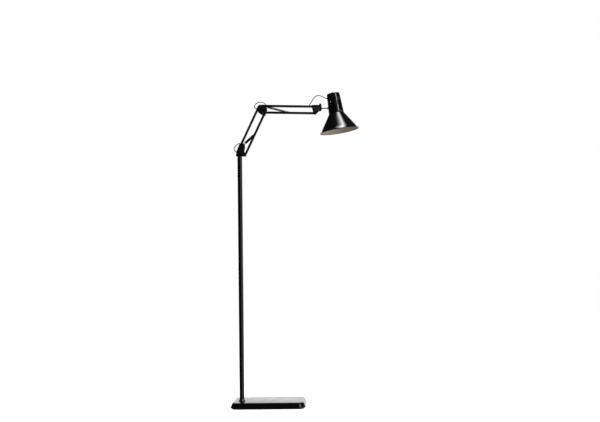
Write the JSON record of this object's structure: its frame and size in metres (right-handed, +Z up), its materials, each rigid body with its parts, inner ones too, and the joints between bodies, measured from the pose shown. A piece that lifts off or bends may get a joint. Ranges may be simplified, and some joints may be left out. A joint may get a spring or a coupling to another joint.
{
  "type": "adjustable arm floor lamp",
  "caption": "Floor lamp with a weighted rectangular base, an upright pole and a sprung two-stage parallelogram arm that carries a vented cap and conical shade.",
  "frame": {"origin": "the pole's axis at floor level, on the base's rest face", "axes": "+Z up along the pole, +X towards the head in the rest pose, +Y to the back"},
  "size_m": [0.6032, 0.277, 1.4606],
  "materials": {
    "stand_powder_coat": "glossy black powder coat",
    "arm_powder_coat": "satin black powder coat",
    "shade_enamel": "gloss black stoved enamel",
    "black_plastic": "moulded nylon, satin",
    "white_nylon": "moulded nylon",
    "black_rubber": "matt",
    "cord_sheath": "satin flexible sheath",
    "spring_steel": "black oxide wire",
    "zinc_plate": "bright zinc plate",
    "black_oxide": "black oxide steel",
    "raw_iron": "as cast",
    "plate_paint": "black primer",
    "white_lining": "warm white enamel, satin",
    "opal_glass": "opal white"
  },
  "bodies": {
    "stand": {"base_cover": "stand_powder_coat", "base_plate": "plate_paint", "base_pad": "black_rubber", "ballast": "raw_iron", "base_screws": "zinc_plate", "cable_outlet": "black_rubber", "pole": "stand_powder_coat", "pole_flange": "stand_powder_coat", "pole_ring": "zinc_plate", "foot_insert": "zinc_plate", "foot_bolt": "zinc_plate", "pole_bush": "black_plastic"},
    "swivel": {"swivel_bracket": "arm_powder_coat", "swivel_spindle": "zinc_plate", "spindle_nut": "zinc_plate", "swivel_pivots": "black_oxide", "swivel_nuts": "black_oxide", "swivel_washers": "white_nylon", "lower_spring_studs": "black_oxide", "lower_spring_near": "spring_steel", "lower_spring_far": "spring_steel", "bracket_grommet": "black_rubber", "base_cord_loop": "cord_sheath"},
    "lower_back": {"lower_back_bar": "arm_powder_coat", "lower_back_ends": "black_plastic", "lower_grommets": "black_rubber", "lower_arm_cord": "cord_sheath"},
    "lower_front": {"lower_front_bar": "arm_powder_coat", "lower_front_ends": "black_plastic", "lower_spring_pin": "black_oxide"},
    "elbow": {"elbow_bracket": "arm_powder_coat", "elbow_pivots": "black_oxide", "elbow_nuts": "black_oxide", "elbow_washers": "white_nylon", "upper_spring_studs": "black_oxide", "upper_spring_near": "spring_steel", "upper_spring_far": "spring_steel", "elbow_cord_loop": "cord_sheath"},
    "upper_top": {"upper_top_bar": "arm_powder_coat", "upper_top_ends": "black_plastic", "upper_grommets": "black_rubber", "upper_arm_cord": "cord_sheath"},
    "upper_bottom": {"upper_bottom_bar": "arm_powder_coat", "upper_bottom_ends": "black_plastic", "upper_spring_pin": "black_oxide"},
    "head_mount": {"head_bracket": "arm_powder_coat", "head_pivots": "black_oxide", "head_nuts": "black_oxide", "head_washers": "white_nylon", "head_cord_loop": "cord_sheath"},
    "knob": {"clamp_knob": "black_plastic"},
    "knuckle": {"knuckle": "black_oxide"},
    "head": {"stem": "black_oxide", "cap": "shade_enamel", "shade": "shade_enamel", "reflector": "white_lining", "lampholder": "black_plastic", "bulb": "opal_glass", "switch_body": "black_plastic"},
    "button": {"switch_button": "black_plastic"}
  },
  "joints": [
    {"name": "arm_swivel", "type": "hinge", "parent": "stand", "child": "swivel", "pos_m": [0, 0, 1.163], "axis": [0, 0, 1], "range_deg": [-170, 170]},
    {"name": "lower_arm_tilt", "type": "hinge", "parent": "swivel", "child": "lower_back", "pos_m": [0.002, 0, 1.21], "axis": [0, 1, 0], "range_deg": [-33, 50], "deforming": ["lower_spring_near", "lower_spring_far", "base_cord_loop"]},
    {"name": "lower_front_follow", "type": "hinge", "parent": "swivel", "child": "lower_front", "pos_m": [0.0255, 0, 1.172], "axis": [0, 1, 0], "range_deg": [-34, 51]},
    {"name": "elbow_follow", "type": "hinge", "parent": "lower_back", "child": "elbow", "pos_m": [0.09069, 0, 1.39593], "axis": [0, 1, 0], "range_deg": [-51, 34]},
    {"name": "upper_arm_tilt", "type": "hinge", "parent": "elbow", "child": "upper_top", "pos_m": [0.10748, 0, 1.39913], "axis": [0, 1, 0], "range_deg": [-88, 45], "deforming": ["upper_spring_near", "upper_spring_far", "elbow_cord_loop", "head_cord_loop"]},
    {"name": "upper_bottom_follow", "type": "hinge", "parent": "elbow", "child": "upper_bottom", "pos_m": [0.11848, 0, 1.36813], "axis": [0, 1, 0], "range_deg": [-89, 46]},
    {"name": "head_mount_follow", "type": "hinge", "parent": "upper_top", "child": "head_mount", "pos_m": [0.33943, 0, 1.39387], "axis": [0, 1, 0], "range_deg": [-46, 89]},
    {"name": "head_tilt", "type": "hinge", "parent": "head_mount", "child": "knuckle", "pos_m": [0.37743, 0, 1.38537], "axis": [0, 1, 0], "range_deg": [-60, 40]},
    {"name": "head_roll", "type": "hinge", "parent": "knuckle", "child": "head", "pos_m": [0.37743, 0, 1.38537], "axis": [1, 0, 0], "range_deg": [-80, 80]},
    {"name": "clamp_knob_turn", "type": "hinge", "parent": "head_mount", "child": "knob", "pos_m": [0.37613, 0, 1.40137], "axis": [0, 0, 1], "range_deg": [-180, 180]},
    {"name": "switch_push", "type": "slide", "parent": "head", "child": "button", "axis": [-0.1599, 0, 0.9871], "range_m": [-0.0025, 0], "stiffness_N_per_m": 400}
  ],
  "couplings": [
    {"joint": "lower_front_follow", "follows": "lower_arm_tilt", "ratio": 1},
    {"joint": "elbow_follow", "follows": "lower_arm_tilt", "ratio": -1},
    {"joint": "upper_bottom_follow", "follows": "upper_arm_tilt", "ratio": 1},
    {"joint": "head_mount_follow", "follows": "upper_arm_tilt", "ratio": -1}
  ]
}
